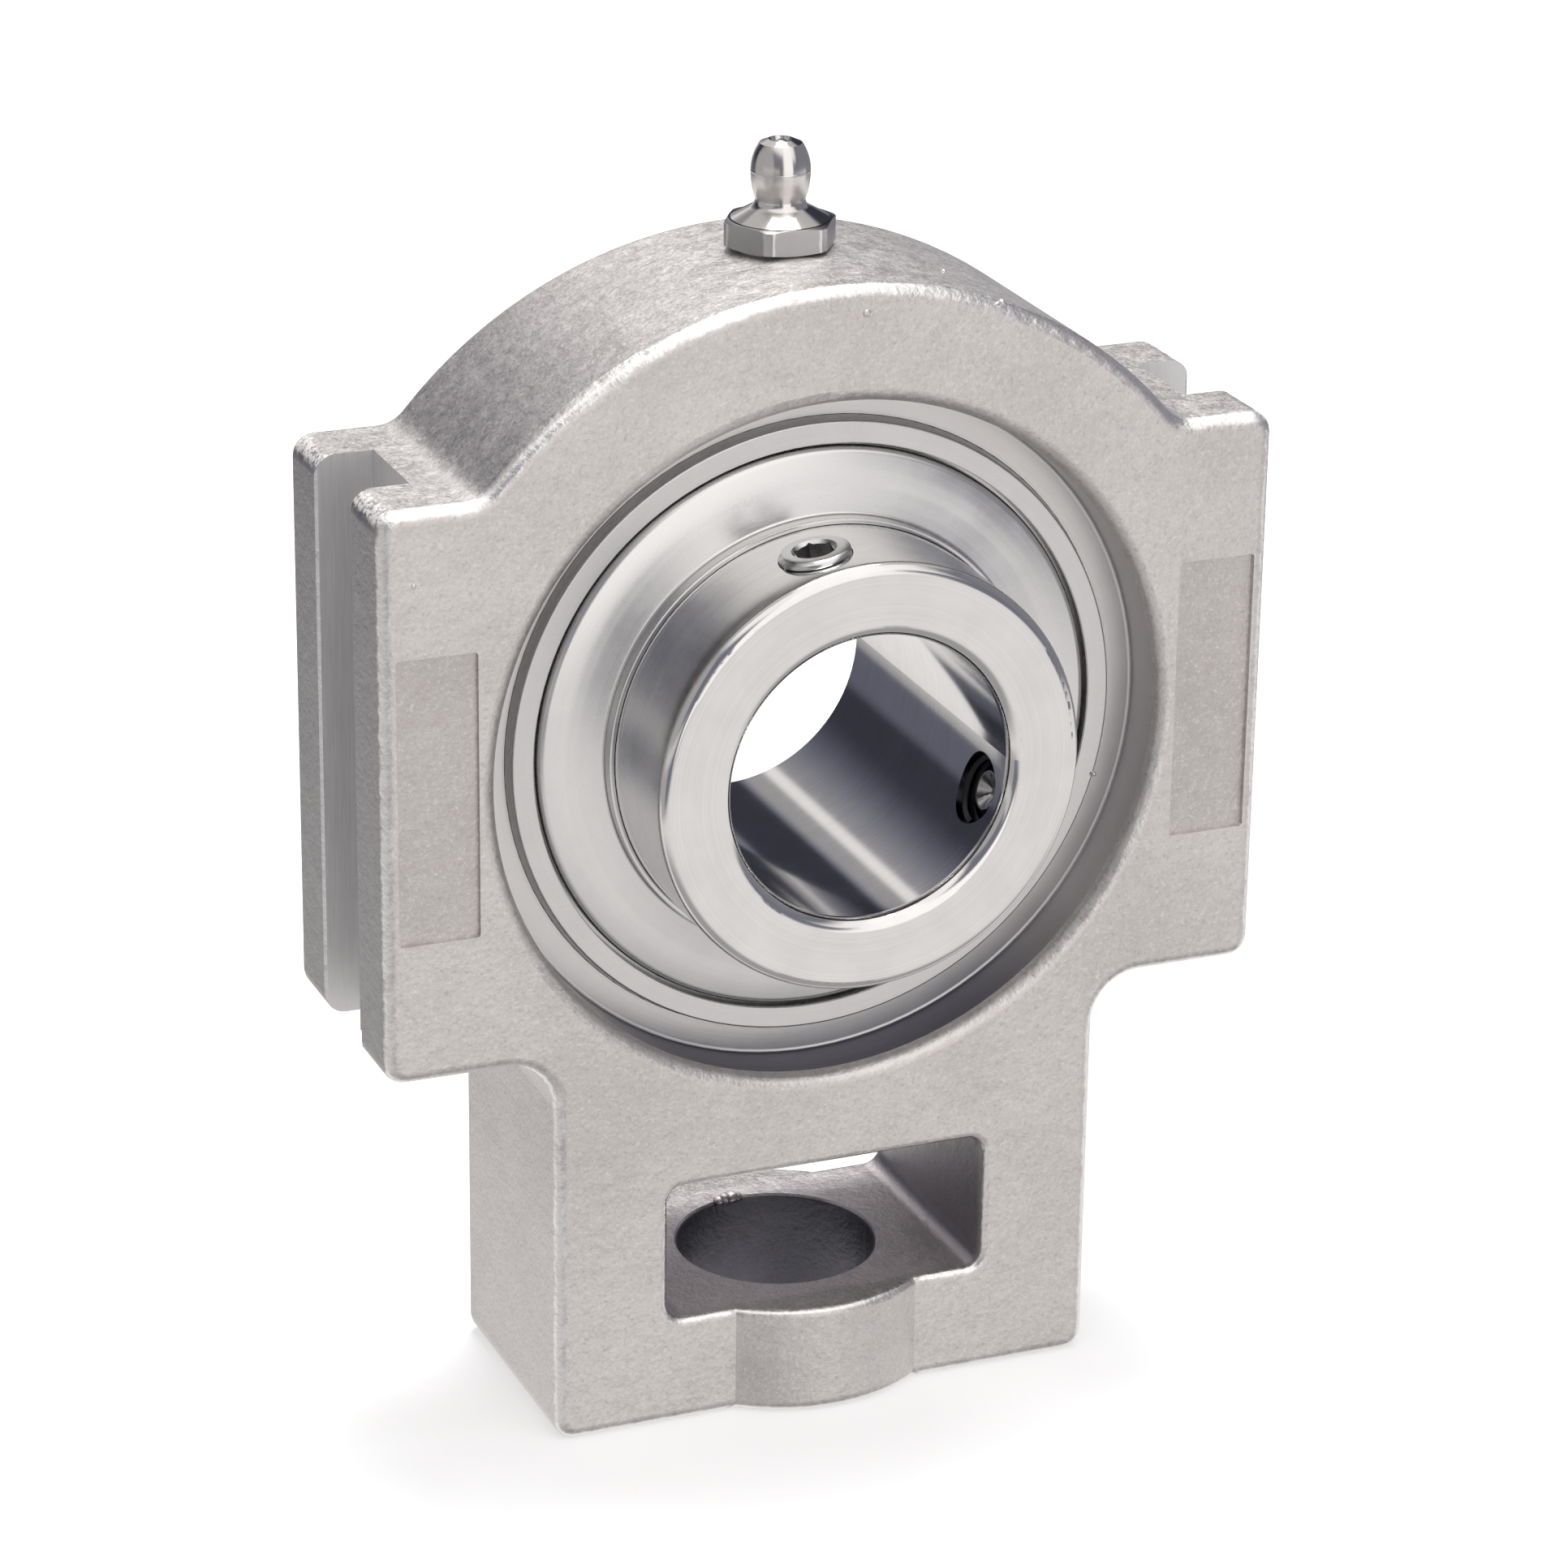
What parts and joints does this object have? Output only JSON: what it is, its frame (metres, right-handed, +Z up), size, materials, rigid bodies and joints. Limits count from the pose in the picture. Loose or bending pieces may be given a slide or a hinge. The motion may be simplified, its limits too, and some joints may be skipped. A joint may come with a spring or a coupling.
{
  "type": "take-up bearing unit",
  "caption": "Take-up bearing unit: cast housing with side rail grooves, adjuster window and end bar, grease fitting, and a self-aligning insert ball bearing with a set screw collar.",
  "frame": {"origin": "centre of the bearing: shaft axis at the middle of the housing's thickness", "axes": "-Y out of the front, where the collar and the set screws are; +X right seen from the front; +Z up through the grease fitting, -Z towards the adjuster end"},
  "size_m": [0.102, 0.0439, 0.1406],
  "materials": {
    "cast_stainless": "matte sandy investment casting, pale warm grey, edges worn bright",
    "ring_steel": "satin turned stainless with fine circular lines",
    "ball_steel": "polished",
    "cage_steel": "pressed sheet, dull",
    "seal_rubber": "black moulded rubber",
    "flinger_steel": "pressed stainless sheet, soft satin",
    "fitting_steel": "bright turned steel",
    "spring_steel": "drawn wire",
    "screw_steel": "machined stainless"
  },
  "bodies": {
    "housing": {"housing": "cast_stainless", "grease_fitting_body": "fitting_steel", "grease_fitting_spring": "spring_steel"},
    "outer_race": {"outer_ring": "ring_steel", "front_seal_plate": "cage_steel", "front_seal_rubber": "seal_rubber", "rear_seal_plate": "cage_steel", "rear_seal_rubber": "seal_rubber"},
    "inner_race": {"inner_ring": "ring_steel", "front_flinger": "flinger_steel", "rear_flinger": "flinger_steel"},
    "cage": {"cage_front_half": "cage_steel", "cage_rear_half": "cage_steel", "cage_rivets": "cage_steel"},
    "ball_1": {"ball_1": "ball_steel"},
    "ball_2": {"ball_2": "ball_steel"},
    "ball_3": {"ball_3": "ball_steel"},
    "ball_4": {"ball_4": "ball_steel"},
    "ball_5": {"ball_5": "ball_steel"},
    "ball_6": {"ball_6": "ball_steel"},
    "ball_7": {"ball_7": "ball_steel"},
    "ball_8": {"ball_8": "ball_steel"},
    "ball_9": {"ball_9": "ball_steel"},
    "set_screw_1": {"set_screw_1": "screw_steel"},
    "set_screw_2": {"set_screw_2": "screw_steel"},
    "grease_check_ball": {"grease_fitting_ball": "ball_steel"}
  },
  "joints": [
    {"name": "insert_tilt", "type": "hinge", "parent": "housing", "child": "outer_race", "pos_m": [0, 0, 0], "axis": [1, 0, 0], "range_deg": [-2, 2]},
    {"name": "inner_ring_spin", "type": "hinge", "parent": "outer_race", "child": "inner_race", "pos_m": [0, 0, 0], "axis": [0, 1, 0], "continuous": true},
    {"name": "cage_spin", "type": "hinge", "parent": "outer_race", "child": "cage", "pos_m": [0, 0, 0], "axis": [0, 1, 0], "continuous": true},
    {"name": "ball_1_spin", "type": "hinge", "parent": "cage", "child": "ball_1", "pos_m": [0, 0, 0.02675], "axis": [0, 1, 0], "continuous": true},
    {"name": "ball_2_spin", "type": "hinge", "parent": "cage", "child": "ball_2", "pos_m": [0.01719, 0, 0.02049], "axis": [0, 1, 0], "continuous": true},
    {"name": "ball_3_spin", "type": "hinge", "parent": "cage", "child": "ball_3", "pos_m": [0.02634, 0, 0.00464], "axis": [0, 1, 0], "continuous": true},
    {"name": "ball_4_spin", "type": "hinge", "parent": "cage", "child": "ball_4", "pos_m": [0.02317, 0, -0.01337], "axis": [0, 1, 0], "continuous": true},
    {"name": "ball_5_spin", "type": "hinge", "parent": "cage", "child": "ball_5", "pos_m": [0.00915, 0, -0.02514], "axis": [0, 1, 0], "continuous": true},
    {"name": "ball_6_spin", "type": "hinge", "parent": "cage", "child": "ball_6", "pos_m": [-0.00915, 0, -0.02514], "axis": [0, 1, 0], "continuous": true},
    {"name": "ball_7_spin", "type": "hinge", "parent": "cage", "child": "ball_7", "pos_m": [-0.02317, 0, -0.01337], "axis": [0, 1, 0], "continuous": true},
    {"name": "ball_8_spin", "type": "hinge", "parent": "cage", "child": "ball_8", "pos_m": [-0.02634, 0, 0.00464], "axis": [0, 1, 0], "continuous": true},
    {"name": "ball_9_spin", "type": "hinge", "parent": "cage", "child": "ball_9", "pos_m": [-0.01719, 0, 0.02049], "axis": [0, 1, 0], "continuous": true},
    {"name": "set_screw_1_travel", "type": "slide", "parent": "inner_race", "child": "set_screw_1", "axis": [0.1822, 0, -0.9833], "range_m": [-0.00317, 0.00106]},
    {"name": "set_screw_2_travel", "type": "slide", "parent": "inner_race", "child": "set_screw_2", "axis": [-0.9426, 0, 0.3338], "range_m": [-0.00317, 0.00106]},
    {"name": "grease_check_ball_lift", "type": "slide", "parent": "housing", "child": "grease_check_ball", "axis": [0, 0, -1], "range_m": [0, 0.001], "stiffness_N_per_m": 400, "springref_m": -0.002, "deforming": ["grease_fitting_spring"]}
  ],
  "couplings": [
    {"joint": "cage_spin", "follows": "inner_ring_spin", "ratio": 0.39615},
    {"joint": "ball_1_spin", "follows": "inner_ring_spin", "ratio": -2.3035},
    {"joint": "ball_2_spin", "follows": "inner_ring_spin", "ratio": -2.3035},
    {"joint": "ball_3_spin", "follows": "inner_ring_spin", "ratio": -2.3035},
    {"joint": "ball_4_spin", "follows": "inner_ring_spin", "ratio": -2.3035},
    {"joint": "ball_5_spin", "follows": "inner_ring_spin", "ratio": -2.3035},
    {"joint": "ball_6_spin", "follows": "inner_ring_spin", "ratio": -2.3035},
    {"joint": "ball_7_spin", "follows": "inner_ring_spin", "ratio": -2.3035},
    {"joint": "ball_8_spin", "follows": "inner_ring_spin", "ratio": -2.3035},
    {"joint": "ball_9_spin", "follows": "inner_ring_spin", "ratio": -2.3035}
  ]
}
